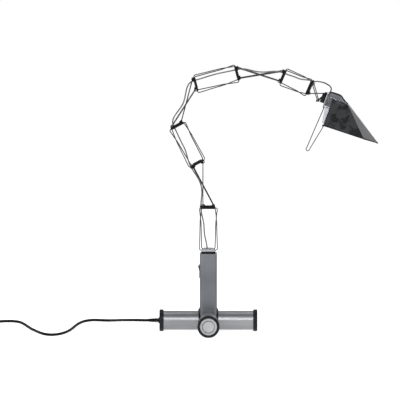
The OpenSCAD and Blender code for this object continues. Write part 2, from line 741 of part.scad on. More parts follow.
// Length of lead that a ring carries, from the middle of one panel to the middle of the next
module ring_lead(i) color("#77787b") at_ring(i) open_bar(
    [down_end(i), down_end(i) + down_dir(i) * lead_end, [eye_x(i), 0, -lead_eye_run],
        [eye_x(i), 0, lead_eye_run], up_end(i + 1) - up_dir(i + 1) * lead_end, up_end(i + 1)],
    [lead_bend_r, lead_bend_r, lead_bend_r, lead_bend_r], lead_d / 2);

lead_start_z = 150;

module lead_0() color("#77787b") {
    top = [0, 0, pivot_z] + up_dir(0) * panel_h(0) / 2 + up_side(0) - up_dir(0) * lead_gap(0) / 2;
    open_bar(
        [[saddle_hole_x, 0, stem_top - plug_depth - lead_end], [saddle_hole_x, 0, pivot_z + lead_eye_run],
            top - up_dir(0) * lead_end, top],
        [lead_bend_r, lead_bend_r], lead_d / 2);
}

module lead_1() ring_lead(0);
module lead_2() ring_lead(1);
module lead_3() ring_lead(2);
module lead_4() ring_lead(3);
module lead_5() ring_lead(4);
module lead_6() ring_lead(5);

// The last ring's lead bows out past the eighth panel, beside the head's own length
bow_out = 22;
bow_on = 12;
head_lead_y = 3.4;

module lead_7() color("#77787b") at_ring(6) open_bar(
    [down_end(6), down_end(6) + down_dir(6) * lead_end, [eye_x(6), 0, -lead_eye_run],
        [eye_x(6), 0, lead_tight_r], [-bow_out, 0, bow_on]],
    [lead_bend_r, lead_bend_r, lead_bend_r], lead_d / 2);

// The head: bracket, holder, hood, glass and handle

// Angle from the last ring's axis to the head's own forward direction
head_tilt = -28.9;

// Head's frame: x forward, y away from the front, z up, at the middle of the last pivot plane
module at_head() {
    at_top(panel_count - 1) rotate([0, head_tilt - 90, 0]) children();
}

plate_x = 8.9;
plate_top = 15;
plate_round = 3;
boss_w = 12;
boss_x0 = -1;
boss_z0 = -12;
boss_z1 = 8;
web_t = 3;

// Moulding with the two last sleeves, and a boss that stands on the bracket plate
module head_sleeves() color(black) difference() {
    union() {
        at_top(panel_count - 1) translate([0, 0, ring_half]) {
            sleeves(true);
            translate([-half_span, -boss_w / 2, -ring_half - web_t / 2]) cube([pivot_span, boss_w, web_t]);
        }
        at_head() translate([boss_x0, -boss_w / 2, boss_z0]) cube([plate_x - boss_x0, boss_w, boss_z1 - boss_z0]);
    }
    at_top(panel_count - 1) translate([0, 0, ring_half]) sleeve_bores(true);
}

// Back plate with rounded corners
module head_bracket() color("#c8cacd") at_head()
    translate([plate_x + plate_t, 0, plate_top - plate_h / 2]) rotate([0, -90, 0])
        linear_extrude(plate_t) rounded_square(plate_h, plate_w, plate_round);

// Ribbed block between the bracket and the hood, with the socket in it
holder_x0 = plate_x + plate_t;
holder_x1 = 26;
holder_w = 24;
holder_bottom = -16;
holder_fin_t = 1.4;
holder_fin_deep = 2.4;
holder_fins = 4;
gland_x = 13.2;
gland_rise = 9.6;
gland_r = 2.2;
bulb_z = -8;
socket_len = 8;
socket_r = 7.5;
bulb_r = 5.5;
bulb_len = 16;
bulb_base_r = 4;
bulb_base_len = 5;

// Arched dome of the hood over the holder; its front slopes down to the hood's top edge
dome_r = 15;
dome_z = 1.2;
dome_rear = 15.5;
dome_front = 38.6;

// The holder's top corners lie just under the dome
holder_top = dome_z + sqrt(pow(dome_r - hood_wall - clearance, 2) - pow(holder_w / 2, 2));
gland_top = holder_top + gland_rise;

module lamp_holder() color("#57585c") at_head() {
    difference() {
        translate([holder_x0, -holder_w / 2, holder_bottom])
            cube([holder_x1 - holder_x0, holder_w, holder_top - holder_bottom]);
        for (k = [1 : holder_fins], s = [-1, 1])
            translate([holder_x0 + k * (holder_x1 - holder_x0) / (holder_fins + 1) - holder_fin_t / 2,
                s > 0 ? holder_w / 2 - holder_fin_deep : -holder_w / 2 - over, holder_bottom + holder_fin_deep])
                cube([holder_fin_t, holder_fin_deep + over, holder_top - holder_bottom - 2 * holder_fin_deep]);
    }
    translate([gland_x, head_lead_y, holder_top - over]) cylinder(h = gland_rise + over, r = gland_r);
    // Socket nose that reaches into the hood
    translate([holder_x1 - over, 0, bulb_z]) rotate([0, 90, 0]) cylinder(h = socket_len + over, r = socket_r);
}

module lamp_bulb() color("#f2f0e6") at_head() translate([holder_x1 + socket_len, 0, bulb_z]) rotate([0, 90, 0]) {
    cylinder(h = bulb_base_len, r = bulb_base_r);
    translate([0, 0, bulb_base_len]) cylinder(h = bulb_len, r = bulb_r);
    translate([0, 0, bulb_base_len + bulb_len]) sphere(r = bulb_r);
}

// Hood: outline of the lip and of the top, from the rear to the tip
hood_rear = 26;
hood_front = 120;
hood_tip = 151;
hood_top_rear = 25;
hood_top_front = 60;
hood_top_z = 4.2;
hood_lip_rear_z = -57;
hood_lip_front_z = -53.3;
hood_tip_z = -52.1;
tip_w = 6;
hem_r = 2.2;
lip_slope = atan((hood_lip_front_z - hood_lip_rear_z) / (hood_front - hood_rear));
dome_slope = atan((dome_z + dome_r - hood_top_z) / (hood_top_front - dome_front));

// Folded shape of the hood, drawn in by inset; the rear ends can be moved and the lip dropped
module hood_solid(inset, low_rear, top_rear, drop) {
    lw = hood_lip_w / 2 - inset;
    tw = hood_top_w / 2 - inset;
    lip_r = hood_lip_rear_z - drop;
    lip_f = hood_lip_front_z - drop;
    lip_t = hood_tip_z - drop;
    top = hood_top_z - inset;
    hull() polyhedron(
        points = [
            [low_rear, -lw, lip_r], [low_rear, lw, lip_r], [hood_front - inset, lw, lip_f], [hood_front - inset, -lw, lip_f],
            [hood_tip - 2 * inset, -tip_w / 2, lip_t], [hood_tip - 2 * inset, tip_w / 2, lip_t],
            [top_rear, -tw, top], [top_rear, tw, top],
            [hood_top_front - inset / 2, -tw, top], [hood_top_front - inset / 2, tw, top]],
        faces = [[0, 1, 2], [0, 2, 3], [3, 2, 5], [3, 5, 4], [0, 3, 8], [0, 8, 6], [1, 7, 9], [1, 9, 2],
            [3, 4, 8], [2, 9, 5], [4, 5, 9], [4, 9, 8], [6, 8, 9], [6, 9, 7], [0, 6, 7], [0, 7, 1]]);
}

module dome_solid(inset, rear) {
    difference() {
        translate([rear, 0, dome_z]) rotate([0, 90, 0]) cylinder(h = hood_top_front - rear, r = dome_r - inset);
        translate([rear - over, -dome_r - over, dome_z - 2 * dome_r])
            cube([hood_top_front, 2 * dome_r + 2 * over, 2 * dome_r]);
        translate([dome_front, 0, dome_z + dome_r]) rotate([0, dome_slope, 0])
            translate([-dome_r / 2, -dome_r - over, -inset]) cube([hood_tip, 2 * dome_r + 2 * over, dome_r]);
    }
}

module hood() color("#3a3b3e") at_head() {
    difference() {
        union() {
            hood_solid(0, hood_rear, hood_top_rear, 0);
            dome_solid(0, dome_rear);
        }
        hood_solid(hood_wall, hood_rear - over, hood_top_rear - over, over);
        dome_solid(hood_wall, dome_rear - over);
    }
    // Rolled rod across the rear of the lip
    translate([hood_rear, 0, hood_lip_rear_z]) rotate([90, 0, 0]) cylinder(h = hood_lip_w, r = hem_r, center = true);
}

reflector_t = 0.8;
reflector_gap = 0.3;
reflector_inset = 1;
reflector_rear_low = 22;
reflector_rear_top = 11.4;
glass_rise = 2.6;

// Everything below a plane parallel to the lip
module below_lip(rise) {
    translate([hood_rear, -hood_lip_w, hood_lip_rear_z]) rotate([0, -lip_slope, 0])
        translate([-hood_rear, 0, rise - hood_lip_w]) cube([hood_tip, 2 * hood_lip_w, hood_lip_w]);
}

// Bright tray inside the hood; its rear wall shows behind the cheeks
module reflector() color("#d5d6dc") at_head() difference() {
    hood_solid(hood_wall + reflector_inset, reflector_rear_low, reflector_rear_top, 0);
    hood_solid(hood_wall + reflector_inset + reflector_t, reflector_rear_low + reflector_t,
        reflector_rear_top + reflector_t, over);
    below_lip(glass_rise + glass_t + reflector_gap);
    translate([-hood_tip, -hood_lip_w, holder_bottom - holder_fin_deep])
        cube([hood_tip + holder_x1 + reflector_gap, 2 * hood_lip_w, hood_lip_w]);
    translate([holder_x1 - over, -holder_w / 2, bulb_z - socket_r - reflector_gap])
        cube([socket_len, holder_w, 2 * socket_r + 2 * reflector_gap]);
}

// Safety glass across the mouth, just inside the lip
module front_glass() color("#dfe6ea") at_head() difference() {
    hood_solid(hood_wall + reflector_gap, hood_rear, hood_top_rear, over);
    below_lip(glass_rise);
    translate([0, 0, glass_t]) below_lip_rest();
}

module below_lip_rest() {
    translate([hood_rear, -hood_lip_w, hood_lip_rear_z]) rotate([0, -lip_slope, 0])
        translate([-hood_rear, 0, glass_rise]) cube([2 * hood_tip, 2 * hood_lip_w, 2 * hood_lip_w]);
}

handle_r = handle_d / 2;
handle_bend = 2.8;
handle_top = [holder_x0 + handle_r + 3 * clearance, 0, -18];
handle_left = [6.6, 0, -122];
handle_right = [13, 0, -122];
handle_dir = unit([hood_rear, 0, hood_lip_rear_z] - handle_right);
handle_root = [hood_rear, 0, hood_lip_rear_z] - (hem_r + clearance) * handle_dir;

module handle_loop() color("#a9aaad") at_head()
    open_bar([handle_top, handle_left, handle_right, handle_root], [handle_bend, handle_bend], handle_r);

head_lead_bend = 5;
head_lead_back = 16;
head_lead_on = 4;
head_lead_top = 30;
head_lead_low = 24;

module lead_8() color("#2a2b2d") at_head() open_bar(
    [[-head_lead_back, head_lead_y, head_lead_top], [head_lead_on, head_lead_y, head_lead_top - over / 2],
        [gland_x, head_lead_y, head_lead_low], [gland_x, head_lead_y, gland_top]],
    [head_lead_bend, head_lead_bend], lead_d / 2);

stem_housing();
stem_cap();
arm_saddle();
switch_bezel();
rocker_switch();
base_tube_left();
base_tube_right();
base_tube_front();
base_tube_rear();
tube_gaskets();
foot_rings();
end_caps();
tie_rods();
ballast();
power_unit();
cord_relief();
mains_cord();
cord_coil();
cord_tie();
mains_plug();
for (i = [0 : panel_count - 1]) outer_frame(i);
for (i = [0 : panel_count - 1]) inner_frame(i);
ring_a();
ring_b();
ring_c();
ring_d();
ring_e();
ring_f();
ring_g();
lead_0();
lead_1();
lead_2();
lead_3();
lead_4();
lead_5();
lead_6();
lead_7();
lead_8();
head_sleeves();
head_bracket();
lamp_holder();
lamp_bulb();
reflector();
front_glass();
hood();
handle_loop();
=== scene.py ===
import math

import bmesh
import bpy
import numpy as np
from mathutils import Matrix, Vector


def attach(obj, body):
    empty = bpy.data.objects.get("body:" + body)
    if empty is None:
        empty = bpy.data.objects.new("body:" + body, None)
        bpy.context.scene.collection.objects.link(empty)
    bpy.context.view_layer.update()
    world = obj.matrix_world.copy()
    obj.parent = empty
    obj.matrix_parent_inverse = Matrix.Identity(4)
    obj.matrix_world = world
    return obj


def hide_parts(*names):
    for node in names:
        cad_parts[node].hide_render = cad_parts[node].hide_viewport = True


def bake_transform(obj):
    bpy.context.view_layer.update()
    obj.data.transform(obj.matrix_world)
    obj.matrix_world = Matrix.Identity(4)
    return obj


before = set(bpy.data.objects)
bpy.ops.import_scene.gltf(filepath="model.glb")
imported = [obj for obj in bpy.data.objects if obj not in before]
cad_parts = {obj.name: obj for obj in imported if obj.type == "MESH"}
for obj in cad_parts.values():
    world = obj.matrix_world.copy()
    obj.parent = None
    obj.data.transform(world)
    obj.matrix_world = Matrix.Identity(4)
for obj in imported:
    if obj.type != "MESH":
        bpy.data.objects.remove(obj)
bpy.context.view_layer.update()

# The studio. The lamp stands on a pale floor in front of a white backdrop. A wide soft box hangs
# overhead, a long one in front, and one stands on each side, so that the round legs and the wires
# get long soft highlights. The camera looks along +Y from almost 7 m away, a little above the lamp.

aim = (-0.01848, 0.0, 0.29092)
distance = 6.82
tilt = math.radians(5.75)
picture_side, focal_in_pixels, sensor_side = 400, 3100, 36
eye = (aim[0], -distance * math.cos(tilt), aim[2] + distance * math.sin(tilt))
lens = bpy.data.cameras.new("long_lens")
lens.sensor_width = sensor_side
lens.lens = sensor_side * focal_in_pixels / picture_side
lens.clip_start, lens.clip_end = 0.1, 60
viewer = bpy.data.objects.new("viewer", lens)
bpy.context.scene.collection.objects.link(viewer)
viewer.location = eye
viewer.rotation_euler = (math.pi / 2 - tilt, 0, 0)
bpy.context.scene.camera = viewer
bpy.context.scene.view_settings.view_transform = "Standard"


def soft_box(name, place, towards, width, height, watts):
    """Rectangular area lamp that shines from place towards a point."""
    light = bpy.data.lights.new(name, "AREA")
    light.shape, light.size, light.size_y, light.energy = "RECTANGLE", width, height, watts
    holder = bpy.data.objects.new(name, light)
    bpy.context.scene.collection.objects.link(holder)
    holder.location = place
    holder.rotation_euler = (Vector(towards) - Vector(place)).to_track_quat("-Z", "Y").to_euler()


soft_box("overhead_box", (-0.1, 0.5, 2.4), (0, 0, 0.2), 1.7, 1.0, 9)
soft_box("front_box", (-0.3, -2.7, 1.35), (0, 0, 0.2), 3.2, 0.6, 56)
soft_box("left_box", (-1.9, -1.0, 1.3), (0, 0, 0.25), 0.6, 1.5, 7)
soft_box("right_box", (2.0, 0.3, 1.4), (0.1, 0, 0.35), 0.9, 1.5, 9)

world = bpy.data.worlds.new("white_studio")
bpy.context.scene.world = world
world.use_nodes = True
air = world.node_tree
air.nodes.clear()


def link(tree, source, socket, target, entry):
    """Joins one node's output to another node's input, each by its name or number."""
    tree.links.new(source.outputs[socket], target.inputs[entry])


def figured(tree, operation, *terms, clamp=False):
    """Math node and its output. Each term is a number, or a node with its output's name or number."""
    node = tree.nodes.new("ShaderNodeMath")
    node.operation, node.use_clamp = operation, clamp
    for entry, term in enumerate(terms):
        if isinstance(term, tuple):
            link(tree, *term, node, entry)
        else:
            node.inputs[entry].default_value = term
    return node, 0


rays = air.nodes.new("ShaderNodeLightPath")
seen_in_metal = figured(air, "ADD", (rays, "Is Glossy Ray"), (rays, "Is Transmission Ray"), clamp=True)
direction = air.nodes.new("ShaderNodeTexCoord")
parts = air.nodes.new("ShaderNodeSeparateXYZ")
link(air, direction, "Generated", parts, 0)
# The backdrop is behind the lamp: white where +Y is ahead, and the dark room on the camera's side
behind = air.nodes.new("ShaderNodeMapRange")
behind.inputs["From Min"].default_value, behind.inputs["From Max"].default_value = 0.55, 0.95
link(air, parts, "Y", behind, "Value")
mirrored = figured(air, "MULTIPLY", seen_in_metal, (behind, "Result"), clamp=True)
shows_white = figured(air, "ADD", mirrored, (rays, "Is Camera Ray"), clamp=True)
room = air.nodes.new("ShaderNodeBackground")
room.inputs["Color"].default_value = (0.97, 0.98, 1.0, 1)
room.inputs["Strength"].default_value = 0.3
white = air.nodes.new("ShaderNodeBackground")
white.inputs["Color"].default_value = (1, 1, 1, 1)
white.inputs["Strength"].default_value = 1.0
either = air.nodes.new("ShaderNodeMixShader")
out = air.nodes.new("ShaderNodeOutputWorld")
link(air, *shows_white, either, 0)
link(air, room, 0, either, 1)
link(air, white, 0, either, 2)
link(air, either, 0, out, 0)

# The floor glows where the camera, metal or glass shows it, so that it reads as white as the
# backdrop without lighting the lamp from below
half_floor = 9.0
ground = bpy.data.meshes.new("pale_floor")
ground.from_pydata(
    [(half_floor * x, half_floor * y, 0) for x, y in ((-1, -1), (1, -1), (1, 1), (-1, 1))],
    [], [(0, 1, 2, 3)])
floor = bpy.data.objects.new("pale_floor", ground)
bpy.context.scene.collection.objects.link(floor)
paper = bpy.data.materials.new("floor_paper")
paper.use_nodes = True
sheet = paper.node_tree
sheet.nodes.clear()
matt = sheet.nodes.new("ShaderNodeBsdfDiffuse")
matt.inputs["Color"].default_value = (0.86, 0.86, 0.86, 1)
lift = sheet.nodes.new("ShaderNodeEmission")
lift.inputs["Strength"].default_value = 0.76
seen = sheet.nodes.new("ShaderNodeLightPath")
seen_at_all = figured(sheet, "ADD", (seen, "Is Camera Ray"), (seen, "Is Glossy Ray"), clamp=True)
seen_or_through = figured(sheet, "ADD", seen_at_all, (seen, "Is Transmission Ray"), clamp=True)
none = sheet.nodes.new("ShaderNodeEmission")
none.inputs["Strength"].default_value = 0.0
glow = sheet.nodes.new("ShaderNodeMixShader")
both = sheet.nodes.new("ShaderNodeAddShader")
floor_out = sheet.nodes.new("ShaderNodeOutputMaterial")
link(sheet, *seen_or_through, glow, 0)
link(sheet, none, 0, glow, 1)
link(sheet, lift, 0, glow, 2)
link(sheet, matt, 0, both, 0)
link(sheet, glow, 0, both, 1)
link(sheet, both, 0, floor_out, 0)
ground.materials.append(paper)

# The mains cord: a round black flexible cord, 6 mm across and about 1.9 m long, as on most desk
# lamps. It leaves the left leg, drops to the floor, wanders to the left in the loose curve of the
# photograph, and what lies beyond the picture is wound up in two layers and held by a tie.

cord_r = 0.003
cord_points = np.array([
    (-133, 0, 24.1), (-140, 0, 24), (-150, 2, 23.9), (-159, 8, 23.2), (-167, 17, 22), (-175, 29, 20.3),
    (-182, 43, 18.4), (-188, 58, 16.2), (-194, 74, 13.9), (-200, 90, 11.5), (-206, 106, 9.1), (-213, 122, 6.7),
    (-222, 136, 4.6), (-233, 146, 3.4), (-246, 152, 3), (-258, 154, 3), (-268, 150, 3), (-277, 139, 3),
    (-284.5, 121, 3), (-291, 95, 3), (-296, 64, 3), (-299.5, 35, 3), (-304, 4, 3), (-310, -25, 3),
    (-318.5, -51, 3), (-328, -68, 3), (-341, -77, 3), (-354, -72, 3), (-365.5, -55, 3), (-375, -32, 3),
    (-383.5, -9, 3), (-391.5, 14, 3), (-399, 40, 3), (-406, 67, 3), (-413.5, 94, 3), (-422, 117, 3),
    (-434, 132, 3), (-449, 137, 3), (-465, 133, 3), (-481, 121, 3), (-497, 109, 3), (-513, 102, 3),
    (-530, 100, 3), (-547, 100, 3)]) / 1000
loop_r, loop_step, loops, rise_dip = 0.031, 0.0066, 2.5, 0.0015
outer_loop = loop_r + loop_step * loops / 2
inner_loop = loop_r - loop_step * loops / 2
coil_middle = cord_points[-1] - (2 * cord_r, outer_loop, 0)


def coil_line(turns):
    """Spiral in on the floor at one step a turn, half a turn that climbs one layer on a smooth
    cubic ease while it dips inwards by a sine, then the same spiral out again on top."""
    share = np.clip(2 * (turns - loops), 0, 1)
    radius = np.select(
        [turns < loops, turns < loops + 0.5],
        [outer_loop - loop_step * turns, inner_loop - rise_dip * np.sin(2 * np.pi * (turns - loops))],
        inner_loop + loop_step * (turns - loops - 0.5))
    height = loop_step * share * share * (3 - 2 * share)
    angle = np.pi / 2 + 2 * np.pi * turns
    return coil_middle + np.stack([radius * np.cos(angle), radius * np.sin(angle), height], 1)


def eased_line(points, pieces):
    """Catmull-Rom curve through the points: each span is the cubic whose end slopes are half the
    chord between its neighbours, cut into equal steps."""
    p = np.vstack([2 * points[:1] - points[1:2], points, 2 * points[-1:] - points[-2:-1]])
    t = (np.arange(pieces) / pieces)[None, :, None]
    a, b, c, d = p[:-3, None], p[1:-2, None], p[2:-1, None], p[3:, None]
    line = 0.5 * (2 * b + (c - a) * t + (2 * a - 5 * b + 4 * c - d) * t ** 2 + (3 * b - a - 3 * c + d) * t ** 3)
    return np.vstack([line.reshape(-1, 3), points[-1:]])


def tube_grid(line, radius, sides, across, wrap=False):
    """Circles of the given radius, one number or one for each point, square to a line. Each circle
    starts in the direction that is square to both the line and the vector across."""
    ahead = np.roll(line, -1, 0) - np.roll(line, 1, 0)
    if not wrap:
        ahead[0], ahead[-1] = line[1] - line[0], line[-1] - line[-2]
    ahead /= np.linalg.norm(ahead, axis=1)[:, None]
    side = np.cross(ahead, np.broadcast_to(np.asarray(across, float), ahead.shape))
    side /= np.linalg.norm(side, axis=1)[:, None]
    up = np.cross(side, ahead)
    turn = 2 * np.pi * np.arange(sides) / sides
    ring = np.cos(turn)[None, :, None] * side[:, None] + np.sin(turn)[None, :, None] * up[:, None]
    return line[:, None] + np.reshape(np.broadcast_to(radius, len(line)), (-1, 1, 1)) * ring


def grid_faces(rows, columns, wrap_rows, wrap_columns, first):
    """Four-sided faces between neighbouring points of a grid, joined up where a direction wraps."""
    r = np.arange(rows if wrap_rows else rows - 1)[:, None]
    c = np.arange(columns if wrap_columns else columns - 1)[None, :]
    r2, c2 = (r + 1) % rows, (c + 1) % columns
    corners = np.stack([r * columns + c, r * columns + c2, r2 * columns + c2, r2 * columns + c], -1)
    return (corners.reshape(-1, 4) + first).tolist()


def make_piece(name, grids, material, body, nodes, sharp=32, closed=True):
    """One mesh from grids of points. Each grid comes with whether its rows wrap, whether its
    columns wrap and whether its first and last row are closed by a flat lid. A closed shape gets
    its normals turned outwards."""
    points, faces, first = [], [], 0
    for grid, wrap_rows, wrap_columns, lids in grids:
        rows, columns = grid.shape[:2]
        points.append(grid.reshape(-1, 3))
        faces += grid_faces(rows, columns, wrap_rows, wrap_columns, first)
        if lids:
            last = first + (rows - 1) * columns
            faces.append(list(range(first, first + columns))[::-1])
            faces.append(list(range(last, last + columns)))
        first += rows * columns
    mesh = bpy.data.meshes.new(name)
    mesh.from_pydata(np.vstack(points).tolist(), [], faces)
    if closed:
        work = bmesh.new()
        work.from_mesh(mesh)
        bmesh.ops.recalc_face_normals(work, faces=work.faces)
        work.to_mesh(mesh)
        work.free()
    return finish_piece(name, mesh, material, body, nodes, sharp)


def finish_piece(name, mesh, material, body, nodes, sharp):
    """Puts a mesh in the scene with its material, smooth apart from edges sharper than an angle."""
    mesh.shade_smooth()
    mesh.set_sharp_from_angle(angle=math.radians(sharp))
    mesh.materials.clear()
    mesh.materials.append(material)
    piece = bpy.data.objects.new(name, mesh)
    bpy.context.scene.collection.objects.link(piece)
    if body:
        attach(piece, body)
    if nodes:
        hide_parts(*nodes)
    return piece


# Unevenness that every worked surface has: slow patches and fine grain, in object space. A stretch
# below one draws the grain out along X, Y or Z, into brushing or drawing lines.
unevenness = bpy.data.node_groups.new("unevenness", "ShaderNodeTree")
for key, value in (("Scale", 20), ("Fine Scale", 400), ("Stretch X", 1), ("Stretch Y", 1), ("Stretch Z", 1)):
    socket = unevenness.interface.new_socket(key, in_out="INPUT", socket_type="NodeSocketFloat")
    socket.default_value = value
for key in ("Slow", "Fine"):
    unevenness.interface.new_socket(key, in_out="OUTPUT", socket_type="NodeSocketFloat")
given = unevenness.nodes.new("NodeGroupInput")
result = unevenness.nodes.new("NodeGroupOutput")
where = unevenness.nodes.new("ShaderNodeTexCoord")
stretch = unevenness.nodes.new("ShaderNodeCombineXYZ")
squeezed = unevenness.nodes.new("ShaderNodeVectorMath")
squeezed.operation = "MULTIPLY"
slow = unevenness.nodes.new("ShaderNodeTexNoise")
slow.inputs["Detail"].default_value = 3
fine = unevenness.nodes.new("ShaderNodeTexNoise")
fine.inputs["Detail"].default_value = 2
for axis in "XYZ":
    link(unevenness, given, "Stretch " + axis, stretch, axis)
link(unevenness, where, "Object", squeezed, 0)
link(unevenness, stretch, 0, squeezed, 1)
link(unevenness, where, "Object", slow, "Vector")
link(unevenness, squeezed, 0, fine, "Vector")
link(unevenness, given, "Scale", slow, "Scale")
link(unevenness, given, "Fine Scale", fine, "Scale")
link(unevenness, slow, 0, result, "Slow")
link(unevenness, fine, 0, result, "Fine")


def worked_finish(name, dark, pale, metal, rough, scale, fine_scale, relief, stretch_by=(1, 1, 1), ior=1.5):
    """Principled surface whose colour runs from dark to pale with the slow patches and whose
    roughness and fine relief follow the grain. A higher scale makes the patches or grain smaller."""
    material = bpy.data.materials.new(name)
    material.use_nodes = True
    tree = material.node_tree
    shader = tree.nodes["Principled BSDF"]
    shader.inputs["Metallic"].default_value = metal
    shader.inputs["IOR"].default_value = ior
    pattern = tree.nodes.new("ShaderNodeGroup")
    pattern.node_tree = unevenness
    pattern.inputs["Scale"].default_value = scale
    pattern.inputs["Fine Scale"].default_value = fine_scale
    for axis, by in zip("XYZ", stretch_by):
        pattern.inputs["Stretch " + axis].default_value = by
    colour = tree.nodes.new("ShaderNodeValToRGB")
    # Noise keeps mostly between these two values
    low_noise, high_noise = 0.3, 0.7
    ends = colour.color_ramp.elements
    ends[0].position, ends[1].position = low_noise, high_noise
    ends[0].color, ends[1].color = (*dark, 1), (*pale, 1)
    roughness = tree.nodes.new("ShaderNodeMapRange")
    roughness.inputs["From Min"].default_value = low_noise
    roughness.inputs["From Max"].default_value = high_noise
    roughness.inputs["To Min"].default_value, roughness.inputs["To Max"].default_value = rough
    bump = tree.nodes.new("ShaderNodeBump")
    bump.inputs["Strength"].default_value = relief
    bump.inputs["Distance"].default_value = 0.0002
    link(tree, pattern, "Slow", colour, 0)
    link(tree, pattern, "Fine", roughness, "Value")
    link(tree, pattern, "Fine", bump, "Height")
    link(tree, colour, 0, shader, "Base Color")
    link(tree, roughness, 0, shader, "Roughness")
    link(tree, bump, 0, shader, "Normal")
    return material


cord_skin = worked_finish(
    "cord_skin", (0.004, 0.004, 0.004), (0.009, 0.009, 0.010), 0, (0.6, 0.72), 30, 900, 0.1, ior=1.2)
cord_run = eased_line(cord_points, 4)
points_a_turn = 36
turn_share = np.arange(round((2 * loops + 0.5) * points_a_turn) + 1) / points_a_turn
coil_run = coil_line(turn_share)
last_angle = np.pi / 2 + 2 * np.pi * turn_share[-1]
coil_out = np.array((-np.sin(last_angle), np.cos(last_angle), 0))
# The free end sinks from the upper layer until the plug lies on the floor
plug_axis_height = 0.00675
plug_drop = loop_step + cord_r - plug_axis_height
tail = [coil_run[-1] + coil_out * along - (0, 0, share * plug_drop) for along, share in (
    (0.003, 0), (0.008, 0), (0.013, 0.1), (0.017, 0.4), (0.021, 0.78), (0.025, 1), (0.028, 1))]
cord_line = np.vstack([cord_run, [coil_middle + (0, outer_loop, 0)], coil_run[1:], tail])
mains_cord = make_piece(
    "mains_cord_run", [(tube_grid(cord_line, cord_r, 14, (0, 0, 1)), False, True, True)],
    cord_skin, "base", ["mains_cord", "cord_coil"])

# The legs: four satin aluminium tubes, 42 mm across with a 2.5 mm wall, cut square with their ends
# lightly chamfered. They are drawn tube, so the finest lines run along them.

axis_height = 0.0241


def turned(profile, sides=96):
    """Turns a profile of (distance along the axis, radius) pairs about the X axis."""
    p = np.array(profile, float) / 1000
    turn = 2 * np.pi * np.arange(sides) / sides
    ones = np.ones((1, sides))
    return np.stack([p[:, :1] * ones, p[:, 1:] * np.cos(turn), p[:, 1:] * np.sin(turn)], -1)


def on_leg(quarter, grid):
    """Turns what was made along +X by quarter turns about the upright axis and lifts it to the
    legs' height."""
    c, s = round(math.cos(quarter * math.pi / 2)), round(math.sin(quarter * math.pi / 2))
    x, y, z = grid[..., 0], grid[..., 1], grid[..., 2]
    return np.stack([c * x - s * y, s * x + c * y, z + axis_height], -1)


def arc(middle, radius, start, end, steps):
    """Points on an arc of a profile, angles in degrees from the profile's first axis."""
    a = np.radians(np.linspace(start, end, steps))
    return list(zip(middle[0] + radius * np.cos(a), middle[1] + radius * np.sin(a)))


tube_start, tube_end, tube_r, bore_r, chamfer = 21.5, 99, 21, 18.5, 0.3
tube_profile = [
    (tube_start, bore_r), (tube_start, tube_r - chamfer), (tube_start + chamfer, tube_r),
    *[(x, tube_r) for x in np.linspace(24, 96, 13)],
    (tube_end - chamfer, tube_r), (tube_end, tube_r - chamfer), (tube_end, bore_r)]
drawn_metal = [
    worked_finish(
        "drawn_tube_" + way, (0.23, 0.235, 0.243), (0.30, 0.305, 0.313), 1, (0.36, 0.44), 9, 700, 0.2, by)
    for way, by in (("sideways", (0.03, 1, 1)), ("lengthways", (1, 0.03, 1)))]
for quarter, side in enumerate(("right", "rear", "left", "front")):
    make_piece(
        "leg_tube_" + side, [(on_leg(quarter, turned(tube_profile)), True, True, False)],
        drawn_metal[quarter % 2], "base", ["base_tube_" + side])

# The feet: black rubber rings round the leg ends, 48 mm across, on which the lamp stands. Their
# edges are rounded, the mould's parting line runs round the middle, and a thin lip laps the cap.

rubber = worked_finish(
    "foot_rubber", (0.003, 0.003, 0.003), (0.008, 0.008, 0.009), 0, (0.45, 0.6), 60, 1500, 0.3, ior=1.3)
foot_r, foot_bore, foot_end, foot_round = 24.1, 20.9, 108, 1.6
seam_r = foot_r - 0.08
round_r = foot_r - foot_round
cap_lip = [(107.9, 18.9), (107.6, 18.4), (107.1, 18.3), (107.02, foot_bore)]
foot_profile = [
    (tube_end, foot_bore), *arc((tube_end + foot_round, round_r), foot_round, 180, 90, 7),
    (103.2, foot_r), (103.4, seam_r), (103.6, seam_r), (103.8, foot_r),
    *arc((foot_end - foot_round, round_r), foot_round, 90, 0, 7), (foot_end, foot_bore), *cap_lip]
make_piece(
    "foot_rubbers", [(on_leg(q, turned(foot_profile)), True, True, False) for q in range(4)],
    rubber, "base", ["foot_rings"])


def dress(node, skin):
    """Gives a CAD solid that stays its material."""
    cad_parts[node].data.materials.clear()
    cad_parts[node].data.materials.append(skin)


dress("tube_gaskets", rubber)

# The end caps: turned aluminium discs with a raised centre in a deep groove and two finer
# grooves round it. The lathe leaves fine circles on the face.

turned_face = worked_finish(
    "turned_face", (0.35, 0.354, 0.362), (0.43, 0.434, 0.442), 1, (0.3, 0.42), 14, 500, 0.35)
# The relief is a sine of the distance from the leg's axis, with crests 0.4 mm apart. The smaller of
# X and Y and the height over the axis are the two sides of that distance at the ends of all four legs.
lathe_tree = turned_face.node_tree
place = lathe_tree.nodes.new("ShaderNodeTexCoord")
apart = lathe_tree.nodes.new("ShaderNodeSeparateXYZ")
link(lathe_tree, place, "Object", apart, 0)
unsigned = [figured(lathe_tree, "ABSOLUTE", (apart, axis)) for axis in "XY"]
nearer = figured(lathe_tree, "MINIMUM", *unsigned)
over_axis = figured(lathe_tree, "SUBTRACT", (apart, "Z"), axis_height)
flat = lathe_tree.nodes.new("ShaderNodeCombineXYZ")
link(lathe_tree, *nearer, flat, "X")
link(lathe_tree, *over_axis, flat, "Y")
far = lathe_tree.nodes.new("ShaderNodeVectorMath")
far.operation = "LENGTH"
link(lathe_tree, flat, 0, far, 0)
radians_a_metre = 16000
wave = figured(lathe_tree, "SINE", figured(lathe_tree, "MULTIPLY", (far, "Value"), radians_a_metre))
circles = lathe_tree.nodes["Bump"]
circles.inputs["Distance"].default_value = 0.00005
link(lathe_tree, *wave, circles, "Height")
